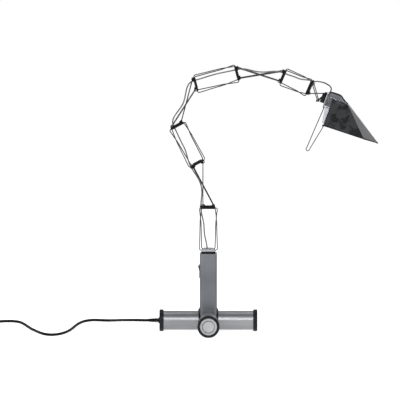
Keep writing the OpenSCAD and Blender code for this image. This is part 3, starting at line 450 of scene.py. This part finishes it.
cap_r, cap_end, groove_r, groove_step, groove_floor, fine_floor = 20.8, 107, 14.3, 1.7, 101.5, 106.6
cap_profile = [(tube_end, cap_r), (cap_end - 0.5, cap_r), (cap_end, cap_r - 0.5)]
for k in (2, 1):
    inside = groove_r + groove_step * k
    cap_profile += [
        (cap_end, inside + 0.5), (fine_floor, inside + 0.45), (fine_floor, inside + 0.05), (cap_end, inside)]
cap_profile += [
    (cap_end, groove_r), (106.9, 14.2), (groove_floor, 14.1), (groove_floor, 12.3), (106.8, 12.2),
    *[(cap_end, r) for r in (12, 9, 5, 0.4, 0.01)]]
make_piece(
    "turned_caps", [(on_leg(q, turned(cap_profile)), False, True, True) for q in range(4)],
    turned_face, "base", ["end_caps"])

# The stem: a square aluminium box section with rounded corners, the hub that the legs are drawn
# against, with a black moulded cap and an aluminium saddle on top and a rocker switch in its left side.


def smooth_copy(name, node, material, body, edge=0.0):
    """Copy of a CAD solid with its loose triangles joined, its flat faces made whole again, its round faces
    shaded smooth and, when an edge width is given, its edges rounded by a small bevel."""
    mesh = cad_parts[node].data.copy()
    mesh.name = name
    work = bmesh.new()
    work.from_mesh(mesh)
    bmesh.ops.remove_doubles(work, verts=work.verts, dist=2e-6)
    bmesh.ops.dissolve_limit(work, angle_limit=math.radians(0.4), verts=work.verts, edges=work.edges)
    work.to_mesh(mesh)
    work.free()
    piece = finish_piece(name, mesh, material, body, [node], sharp=30)
    if edge:
        rounding = piece.modifiers.new("rounded_edges", "BEVEL")
        rounding.width, rounding.segments, rounding.limit_method = edge, 2, "ANGLE"
        rounding.angle_limit = math.radians(40)
        rounding.use_clamp_overlap = True
    return piece


stem_skin = worked_finish(
    "satin_box_section", (0.13, 0.134, 0.146), (0.175, 0.18, 0.194), 1, (0.3, 0.4), 12, 700, 0.25, (1, 1, 0.03))
saddle_skin = worked_finish(
    "satin_saddle", (0.28, 0.284, 0.292), (0.36, 0.364, 0.372), 1, (0.32, 0.42), 40, 900, 0.2)
black_moulding = worked_finish(
    "black_moulding", (0.004, 0.004, 0.004), (0.010, 0.010, 0.011), 0, (0.3, 0.42), 60, 1400, 0.3, ior=1.2)
smooth_copy("box_stem", "stem_housing", stem_skin, "base")
smooth_copy("stem_plug", "stem_cap", black_moulding, "base")
smooth_copy("saddle_block", "arm_saddle", saddle_skin, "base")
smooth_copy("switch_frame", "switch_bezel", black_moulding, "base", edge=0.0004)
rocker_skin = worked_finish(
    "polished_rocker", (0.003, 0.003, 0.003), (0.006, 0.006, 0.007), 0, (0.4, 0.5), 60, 900, 0.1, ior=1.25)
smooth_copy("rocker_key", "rocker_switch", rocker_skin, "rocker", edge=0.0005)

# The parts on the mains cord: a ribbed strain relief in the left leg's cap, moulded on the cord, a
# flat tie round the stored coil and a flat two-pin plug with bright pins.

relief_skin = worked_finish(
    "soft_relief", (0.004, 0.004, 0.004), (0.010, 0.010, 0.011), 0, (0.5, 0.65), 60, 1200, 0.2, ior=1.2)
rib_step, rib_wide, neck_r = 3.6, 1.4, 3.5
relief_profile = [(99, 4.2), (107, 4.2), (107, 6.6), (107.3, 7), (108.7, 7), (109, 6.6), (109, 6.1)]
for k in range(5):
    start = 111 + rib_step * k
    end = start + rib_wide
    body_r = np.interp([start, end], [109, 133], [6, 3.2])
    relief_profile += [(start, body_r[0]), (start + 0.15, neck_r), (end - 0.15, neck_r), (end, body_r[1])]
relief_profile += [(132.8, 3.3), (133, 3.02)]
relief = make_piece(
    "ribbed_relief", [(on_leg(2, turned(relief_profile, 48)), False, True, True)],
    relief_skin, "base", ["cord_relief"])
pin_metal = worked_finish("bright_pins", (0.75, 0.76, 0.78), (0.85, 0.86, 0.88), 1, (0.12, 0.2), 60, 900, 0.05)
plug_start = tail[-1]
plug_across = np.array((-coil_out[1], coil_out[0], 0))


def plug_section(distance, half_wide, half_high, sides=40):
    """Rounded oblong across the plug: a superellipse, whose cosine and sine are raised to two over
    its power while they keep their signs."""
    power = 3.5
    a = 2 * np.pi * np.arange(sides) / sides
    c, s = np.cos(a), np.sin(a)
    wide = half_wide * np.sign(c) * np.abs(c) ** (2 / power)
    high = half_high * np.sign(s) * np.abs(s) ** (2 / power)
    across = wide[:, None] * plug_across + high[:, None] * np.array((0, 0, 1))
    return plug_start + (distance * coil_out + across) / 1000


# Distance from the cord's end, half width and half height of the plug's body
plug_rows = [
    (0, 3.1, 3.1), (5, 3.6, 3.6), (6, 3.2, 3.2), (7, 3.9, 3.8), (8, 3.4, 3.4), (9, 4.3, 4.1), (10, 3.8, 3.8),
    (11, 4.9, 4.4), (14, 6.6, 6.1), (18, 8.4, 6.6), (24, 12.6, 6.7), (29, 16, 6.7), (32, 16.9, 6.7),
    (44, 17, 6.7), (47.4, 16.8, 6.6), (48, 16.2, 6)]
# Distance and radius along each pin
pin_rows = np.array([(48, 2), (52, 2), (58, 2), (66, 2), (66.6, 1.7), (67, 1)])
pin_aside = 9.3
pin_grids = []
for side in (-1, 1):
    pin_line = plug_start + (pin_rows[:, :1] * coil_out + side * pin_aside * plug_across) / 1000
    pin_grids.append((tube_grid(pin_line, pin_rows[:, 1] / 1000, 24, (0, 0, 1)), False, True, True))
pins = make_piece("plug_pins", pin_grids, pin_metal, "base", [])
plug_body = make_piece(
    "plug_body", [(np.stack([plug_section(*row) for row in plug_rows]), False, True, True)],
    relief_skin, "base", ["mains_plug"])
tie = smooth_copy("cord_band", "cord_tie", black_moulding, "base", edge=0.0003)

# The arm's wire frames: sixteen closed loops of bright 2.2 mm spring wire, bent to a long taper.
# Each panel has a wider outer loop and a narrower inner one, which cross and swing in the rings.

wire_r, span, saddle_pivot, ring_half_high = 1.1, 24.0, 181.3, 1.9
lengths = [96.5] * 6 + [67.5, 38.5]
bends = [0, -28, 0, 103.5, 0, 37.5, -8, 26]


def shift(x, y, z):
    """Move as a 4 by 4 matrix."""
    m = np.eye(4)
    m[:3, 3] = x, y, z
    return m


def turn_about_y(degrees):
    """Turn that takes Z towards X."""
    c, s = math.cos(math.radians(degrees)), math.sin(math.radians(degrees))
    m = np.eye(4)
    m[0, 0], m[0, 2], m[2, 0], m[2, 2] = c, s, -s, c
    return m


def turn_about_z(degrees):
    """Turn that takes X towards Y."""
    c, s = math.cos(math.radians(degrees)), math.sin(math.radians(degrees))
    m = np.eye(4)
    m[0, :2], m[1, :2] = (c, -s), (s, c)
    return m


# Each panel is two frames that cross: they lean by the angle whose cosine is the pivot distance over
# their length, times the cosine of half the panel's bend, and half of the bend turns it at each end.
lower_planes, ring_places = [], []
plane = shift(0, 0, saddle_pivot)
for k in range(8):
    quarter = 90 * (k % 2 == 0)
    half = math.radians(bends[k] / 2)
    lean = math.acos(span / lengths[k] * math.cos(half))
    rise = lengths[k] * math.sin(lean)
    low = plane @ turn_about_z(quarter)
    high = low @ shift(rise * math.sin(half), 0, rise * math.cos(half)) @ turn_about_y(bends[k])
    lower_planes.append((low, half, lean, rise))
    ring_places.append(high @ turn_about_z(-quarter) @ shift(0, 0, ring_half_high))
    plane = ring_places[-1] @ shift(0, 0, ring_half_high)
arm_top = high


def placed(matrix, points):
    """A grid or row of points in millimetres, moved by a place and given in metres."""
    return (points @ matrix[:3, :3].T + matrix[:3, 3]) / 1000


def bent_wire(corners, radii, wrap, steps=7):
    """Line of a bent wire: each corner becomes an arc that starts and ends on its two straights, as
    far from the corner as the radius times the tangent of half the turn. An arc takes no more than
    just under half of its shorter straight."""
    most = 0.49
    line = []
    count = len(corners)
    c = np.array(corners, float)
    for k in range(count):
        if not wrap and k in (0, count - 1):
            line.append(c[k][None])
            continue
        arriving, leaving = c[k] - c[k - 1], c[(k + 1) % count] - c[k]
        u, v = arriving / np.linalg.norm(arriving), leaving / np.linalg.norm(leaving)
        turn = math.acos(max(-1, min(1, float(u @ v))))
        room = most * min(np.linalg.norm(arriving), np.linalg.norm(leaving))
        radius = min(radii[k], room / math.tan(turn / 2))
        inward = v - (u @ v) * u
        inward /= np.linalg.norm(inward)
        middle = c[k] - u * radius * math.tan(turn / 2) + inward * radius
        a = np.linspace(0, turn, steps)[:, None]
        line.append(middle - inward * radius * np.cos(a) + u * radius * np.sin(a))
    return np.vstack(line)


def wire_loop(length, near_half, far_half):
    """Long tapered loop in a plane: wide end at z = 0, narrow end at z = length. The corners at the
    wide end are bent no rounder than the straight part in the sleeves allows."""
    wide_half, narrow_half, end_bend, side_bend, beside_sleeve = 19.9, 14.6, 4, 40, 4.3
    a, b = 0.36 * length, 0.66 * length
    corner = math.pi / 2 + math.atan((wide_half - near_half) / a)
    wide_bend = min(end_bend, beside_sleeve / math.tan(corner / 2))
    return bent_wire(
        [(0, -wide_half, 0), (0, wide_half, 0), (0, near_half, a), (0, far_half, b), (0, narrow_half, length),
         (0, -narrow_half, length), (0, -far_half, b), (0, -near_half, a)],
        [wide_bend, wide_bend, side_bend, side_bend, end_bend, end_bend, side_bend, side_bend], True)


# The bright steel wire is coloured nearly black: painted shade, for the dark room that the round wire mirrors.
# The inner frames' copy is a little darker.
outer_wire = worked_finish(
    "outer_wire_painted_shade", (0.035, 0.035, 0.037), (0.085, 0.085, 0.088), 1, (0.16, 0.28), 50, 1200, 0.1)
inner_wire = worked_finish(
    "inner_wire_painted_shade", (0.02, 0.02, 0.021), (0.055, 0.055, 0.057), 1, (0.18, 0.3), 50, 1200, 0.1)
for k, (low, half, lean, _) in enumerate(lower_planes):
    outer = low @ shift(-span / 2, 0, 0) @ turn_about_y(90 - math.degrees(lean - half))
    inner = low @ shift(span / 2, 0, 0) @ turn_about_y(math.degrees(lean + half) - 90) @ shift(0, 0, lengths[k])
    outer_line = wire_loop(lengths[k], 18.9, 18.3)
    inner_line = wire_loop(lengths[k], 16.2, 15.6) * (1, 1, -1)
    for letter, place, line, metal in (
            ("a", outer, outer_line, outer_wire), ("b", inner, inner_line, inner_wire)):
        name = f"frame_{k + 1}{letter}"
        grid = placed(place, tube_grid(line, wire_r, 14, (1, 0, 0), True))
        make_piece("wire_" + name, [(grid, True, True, False)], metal, name, [name], sharp=180)

# The rings between the panels: black glass-filled nylon mouldings, each with two sleeves below
# and two across them above, tied by posts at the corners, and a small eye that guides the lead.

nylon = worked_finish(
    "black_nylon", (0.003, 0.003, 0.003), (0.008, 0.008, 0.009), 0, (0.4, 0.5), 90, 1600, 0.2, ior=1.2)
for letter in "abcdefg":
    smooth_copy("moulded_ring_" + letter, "ring_" + letter, nylon, "ring_" + letter)

# The lamp lead: a thin grey round lead that comes out of the saddle and climbs inside the arm
# through the rings' eyes. Past the last ring a darker length bows over into the holder's gland.

lead_r, sleeve_r, eye_r, seat = 1.5, 2.7, 1.65, 0.1
lead_skin = worked_finish(
    "grey_lead_sheath", (0.10, 0.10, 0.103), (0.17, 0.17, 0.175), 0, (0.4, 0.55), 60, 1200, 0.1)
dark_lead = worked_finish(
    "dark_lead_sheath", (0.022, 0.022, 0.024), (0.04, 0.04, 0.043), 0, (0.35, 0.5), 60, 1200, 0.1)
# An eye sits outside or inside its ring's sleeve
eyes_outside = [True, True, False, False, False, False, True]
eye_places = [-(span / 2 + (sleeve_r + eye_r) * (1 if outside else -1) + seat) for outside in eyes_outside]


def at(matrix, point):
    """A point of a place in millimetres, as a row in the lamp's own millimetres."""
    return matrix[:3, :3] @ np.array(point, float) + matrix[:3, 3]


def swung_line(start, start_way, end, end_way, steps=14):
    """Cubic line between two points that leaves and arrives along given directions, each pulled by
    a little more than the distance."""
    t = np.linspace(0, 1, steps)[:, None]
    pull = 1.15 * np.linalg.norm(end - start)
    return ((2 * t ** 3 - 3 * t ** 2 + 1) * start + (t ** 3 - 2 * t ** 2 + t) * pull * start_way
            + (3 * t ** 2 - 2 * t ** 3) * end + (t ** 3 - t ** 2) * pull * end_way)


def lead_length(name, line, skin):
    """One curved length of lead between two neighbouring bodies of the arm, on no body, with its place baked
    into its points.
    """
    grid = tube_grid(line / 1000, lead_r / 1000, 12, (0.08, 1, 0.05))
    piece = make_piece(name, [(grid, False, True, True)], skin, None, [], sharp=80)
    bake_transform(piece)
    return piece


# The lead climbs from eye to eye and passes the middle of each panel a little to one side, out of
# the way of the wires that cross there
lead_pieces = []
aside_even, aside_odd = -9.5, -5.0
below, below_way = np.array((-2.5, 0, 178.0)), np.array((0, 0, 1.0))
for k, (low, half, _, rise) in enumerate(lower_planes[:7]):
    up_way = low[:3, :3] @ np.array((math.sin(half), 0, math.cos(half)))
    middle = at(low, (rise / 2 * math.sin(half), 0, rise / 2 * math.cos(half)))
    if k % 2 == 0:
        middle = middle + (low @ turn_about_z(-90))[:3, 0] * aside_even
    else:
        middle = middle + low[:3, :3] @ np.array((math.cos(half), 0, -math.sin(half))) * aside_odd
    above, above_way = at(ring_places[k], (eye_places[k], 0, 0)), ring_places[k][:3, 2]
    lower_half = swung_line(below, below_way, middle, up_way)
    upper_half = swung_line(middle, up_way, above, above_way)
    lead_pieces += [
        lead_length(f"lead_{k + 1}_lower", lower_half, lead_skin),
        lead_length(f"lead_{k + 1}_upper", upper_half, lead_skin)]
    below, below_way = above, above_way
head_pitch = -28.9
head_place = arm_top @ turn_about_y(head_pitch - 90)
# The last length leaves the last ring's eye, bows over and goes down into the holder's gland. It
# changes to the darker sheath where it is cut between its two pieces.
bow = np.array([
    *[at(ring_places[6], point) for point in ((eye_places[6], 0, 0), (-17.6, 0.3, 4), (-20, 1.2, 9))],
    *[at(head_place, point) for point in (
        (-14, 2.6, 29.5), (-6, 3.2, 30.2), (3, 3.4, 29), (9.5, 3.4, 26.5), (12.6, 3.4, 22.5), (13, 3.4, 17))]])
bow_line = eased_line(bow, 5)
cut = 18
lead_pieces += [
    lead_length("lead_8_lower", bow_line[:cut + 1], lead_skin),
    lead_length("lead_8_upper", bow_line[cut:], dark_lead)]
# Each solid length of lead is stood for by the drawn one that starts at the same body
for number, which in enumerate((0, 2, 4, 6, 8, 10, 12, 14, 15)):
    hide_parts(f"lead_{number}")

# The head: a black sleeve moulding and a bright bracket plate carry a ribbed holder, and the
# tapered hood sits on its front. Its parts share one frame: forward, away from the viewer, up.

chrome_plate = worked_finish(
    "chrome_plate", (0.80, 0.80, 0.81), (0.90, 0.90, 0.91), 1, (0.06, 0.14), 60, 900, 0.05)
cast_holder = worked_finish(
    "cast_holder", (0.02, 0.02, 0.022), (0.14, 0.14, 0.155), 0.7, (0.28, 0.38), 70, 200, 0.1)
smooth_copy("sleeve_moulding", "head_sleeves", nylon, "head")
smooth_copy("bracket_plate", "head_bracket", chrome_plate, "head", edge=0.0005)
smooth_copy("ribbed_holder", "lamp_holder", cast_holder, "head", edge=0.0003)

# The hood: one folded sheet of dark bright-dipped aluminium, 1.5 mm thick. Two flat cheeks lean
# out to the lip, two facets and a narrow front run down to the tip, and the roof is arched.

hood_dark = worked_finish(
    "dark_dipped_sheet", (0.003, 0.0035, 0.004), (0.024, 0.025, 0.027), 0.3, (0.34, 0.42), 44, 40, 0.02,
    (0.45, 1, 1.5), ior=1.27)
# Blotches with fairly sharp edges on the cheeks: painted reflection, the mottled look that the dark sheet's
# surroundings give it
painted_reflection_blotches = hood_dark.node_tree.nodes["Color Ramp"].color_ramp
painted_reflection_blotches.elements[0].position, painted_reflection_blotches.elements[1].position = 0.45, 0.54


def line_between(start, end, steps):
    """Evenly spaced points from start to end."""
    s = np.linspace(0, 1, steps)[:, None]
    return np.array(start, float) * (1 - s) + np.array(end, float) * s


def ruled(one, other, steps=13):
    """Straight lines from each point of one edge to the matching point of another."""
    s = np.linspace(0, 1, steps)[None, :, None]
    return one[:, None] * (1 - s) + other[:, None] * s


def arched(forward, half_wide, edge_up, crest_up, steps=25):
    """Rows over a roof, each along half a turn: sideways the half width times the cosine, and from
    edge to crest the sine to the power 0.9, which is a little fuller than an ellipse."""
    turn = np.linspace(0, np.pi, steps)
    return np.stack([
        np.broadcast_to(forward[:, None], (len(forward), steps)), -half_wide[:, None] * np.cos(turn),
        edge_up[:, None] + (crest_up - edge_up)[:, None] * np.sin(turn) ** 0.9], -1)


# The corners of the far side; the near side is its mirror image
rear_lip, middle_lip, front_lip = (26, 33, -57), (60, 33, -55.66), (120, 33, -53.3)
fold_top, fold_tip = (60, 17, 4.2), (150.3, 3, -52.1)
rear_steps, front_steps, facet_steps = 15, 25, 9
lip_rear = line_between(rear_lip, middle_lip, rear_steps)
lip_front = line_between(middle_lip, front_lip, front_steps)
rear_share = np.linspace(0, 1, rear_steps)
top_dip = 4 * rear_share * (1 - rear_share)
cheek_top = np.stack([25 + 35 * rear_share, 17 + 0.6 * top_dip, 4.0 + 0.2 * rear_share - 3.6 * top_dip], 1)
cheek_front = line_between(fold_top, front_lip, front_steps)
ridge = line_between(fold_top, fold_tip, front_steps)
far_side = [ruled(lip_rear, cheek_top), ruled(lip_front, cheek_front), ruled(cheek_front, ridge, facet_steps)]
mirror = np.array((1, -1, 1))
grids = [grid * mirror for grid in far_side] + far_side + [ruled(ridge * mirror, ridge, facet_steps)]
# The roof stands on the cheeks' top edges. Its crest runs level and then drops.
forward, half_wide, edge_up = cheek_top.T
crest_up = np.interp(forward, [25, 36, 39.5, 45, 52, 60], [15.9, 16.3, 15.6, 10.9, 7.0, 4.4])
grids.append(arched(forward, half_wide, edge_up, crest_up))
# The roof's rear end reaches back over the holder: forward, half width, edge and crest at its ends
grids.append(arched(*[np.linspace(rear, front, 5) for rear, front in (
    (15.6, 25), (15.4, 17), (4.4, 4.0), (15.8, 15.9))]))
hood_sheet = make_piece(
    "hood_sheet", [(placed(head_place, grid), False, False, False) for grid in grids],
    hood_dark, "head", ["hood"], sharp=180, closed=False)
# The roof and the facets get paler copies of the sheet's colour than the cheeks: painted light, for the light
# they catch where they face further up
hood_sheet.data.materials.append(worked_finish(
    "roof_painted_light", (0.17, 0.17, 0.195), (0.25, 0.25, 0.28), 0.5, (0.34, 0.4), 26, 40, 0.02))
hood_sheet.data.materials.append(worked_finish(
    "facets_painted_light", (0.085, 0.085, 0.09), (0.14, 0.14, 0.15), 0.5, (0.34, 0.4), 20, 40, 0.02))
lit_roof_slot, lit_facets_slot = 1, 2
roof_foot = 5.0
work = bmesh.new()
work.from_mesh(hood_sheet.data)
bmesh.ops.remove_doubles(work, verts=work.verts, dist=5e-5)
bmesh.ops.recalc_face_normals(work, faces=work.faces)
to_head = np.linalg.inv(head_place)
# Roof and facet faces take the paler painted-light copies; the cheeks keep the dark sheet
for face in work.faces:
    forward_at, _, up_at = at(to_head, np.array(face.calc_center_median()) * 1000)
    on_cheek = abs(float(to_head[1, :3] @ np.array(face.normal))) > 0.8
    if forward_at > fold_top[0] and not on_cheek:
        face.material_index = lit_facets_slot
    elif forward_at < fold_top[0] and up_at > roof_foot:
        face.material_index = lit_roof_slot
# An open sheet has no inside, so its highest face tells whether the normals point outwards
upmost = max(work.faces, key=lambda face: face.calc_center_median().z)
if upmost.normal.z < 0:
    bmesh.ops.reverse_faces(work, faces=work.faces)
work.to_mesh(hood_sheet.data)
work.free()
folds = hood_sheet.modifiers.new("folds", "BEVEL")
folds.width, folds.segments, folds.limit_method, folds.angle_limit = 0.0012, 3, "ANGLE", math.radians(18)
wall = hood_sheet.modifiers.new("sheet_wall", "SOLIDIFY")
wall.thickness, wall.offset = 0.0015, -1

# What lies along the hood's edges: a wire hem along the lip, a rolled rod across its rear, and, black, a raised
# strip along the crest where the roof shows a dark line and a small end at the tip.

lip = bent_wire(
    [(26.4, -32.6, -56.5), (120, -32.6, -52.9), (149.7, -3, -51.7), (149.7, 3, -51.7), (120, 32.6, -52.9),
     (26.4, 32.6, -56.5)], [0, 3, 1.5, 1.5, 3, 0], False)
lip_grid = placed(head_place, tube_grid(lip, 1.0, 10, (0, 0, 1)))
rod = np.array([(26, y, -57) for y in (-33, -32.4, -20, 0, 20, 32.4, 33)], float)
rod_r = [1.7, 2.2, 2.2, 2.2, 2.2, 2.2, 1.7]
rod_grid = placed(head_place, tube_grid(rod, rod_r, 24, (0, 0, 1)))
make_piece(
    "hood_hem", [(lip_grid, False, True, True), (rod_grid, False, True, True)],
    hood_dark, "head", [], sharp=50)
crest = np.array([
    (13, 0, 16.1), (16, 0, 16.5), (25, 0, 16.8), (33, 0, 17.0), (37.5, 0, 16.6), (41, 0, 14.9),
    (46, 0, 11.3), (52, 0, 7.9), (59, 0, 5.4)])
crest_r = [0.9, 1.6, 2.0, 2.0, 1.9, 1.7, 1.5, 1.3, 0.8]
wider_than_high = 1.8
crest_grid = placed(head_place, tube_grid(crest, crest_r, 14, (0, 1, 0)) * (1, wider_than_high, 1))
nose = np.array([(148.4, y, -52.5) for y in (-4.2, -3.4, 0, 3.4, 4.2)])
nose_grid = placed(head_place, tube_grid(nose, [0.6, 1.5, 1.6, 1.5, 0.6], 12, (0, 0, 1)))
make_piece(
    "crest_strip_and_nose", [(crest_grid, False, True, True), (nose_grid, False, True, True)],
    black_moulding, "head", [], sharp=60)

# The pale tray reflector inside the hood, folded from thin bright aluminium, the safety glass that
# lies over the mouth inside the lip, and the small frosted bulb in the holder's socket.

tray = worked_finish("bright_tray", (0.42, 0.42, 0.47), (0.47, 0.47, 0.52), 0.3, (0.45, 0.5), 12, 60, 0.02)
smooth_copy("tray_reflector", "reflector", tray, "head")


def clear_glass(name, tint, rough):
    """Clear glass of one tint, with a faint unevenness in its roughness and relief."""
    material = worked_finish(name, tint, tint, 0, (rough, rough + 0.02), 20, 200, 0.02)
    shader = material.node_tree.nodes["Principled BSDF"]
    material.node_tree.nodes.remove(material.node_tree.nodes["Color Ramp"])
    shader.inputs["Base Color"].default_value = (*tint, 1)
    shader.inputs["Transmission Weight"].default_value = 1
    return material


safety_glass = clear_glass("safety_glass", (0.92, 0.95, 0.96), 0.02)
smooth_copy("mouth_glass", "front_glass", safety_glass, "head")
frosted_bulb = clear_glass("frosted_bulb", (0.97, 0.95, 0.9), 0.3)
smooth_copy("small_bulb", "lamp_bulb", frosted_bulb, "head")

# The handle: a long narrow loop of bright 2 mm wire, from the holder's lower corner down and back
# up to the rod at the hood's rear lip. The lamp is pulled about by it.

handle_r = 1.0
handle = bent_wire(
    [(12.1, 0, -17.5), (6.6, 0, -122), (13, 0, -122), (25.0, 0, -59.3)], [0, 2.8, 2.8, 0], False, 9)
handle_grid = placed(head_place, tube_grid(handle, handle_r, 14, (0, 1, 0)))
make_piece(
    "handle_wire", [(handle_grid, False, True, True)],
    outer_wire, "head", ["handle_loop"], sharp=80)

# What stays unseen inside the legs keeps its CAD solid: the steel tie rods, the steel ballast slugs
# and the power unit in its coated case.

hidden_metal = worked_finish(
    "plain_steel", (0.30, 0.30, 0.31), (0.42, 0.42, 0.43), 1, (0.35, 0.5), 30, 600, 0.3)
unit_case = worked_finish(
    "unit_case", (0.02, 0.03, 0.02), (0.03, 0.045, 0.03), 0, (0.4, 0.55), 30, 600, 0.2)
for node, skin in (("tie_rods", hidden_metal), ("ballast", hidden_metal), ("power_unit", unit_case)):
    dress(node, skin)
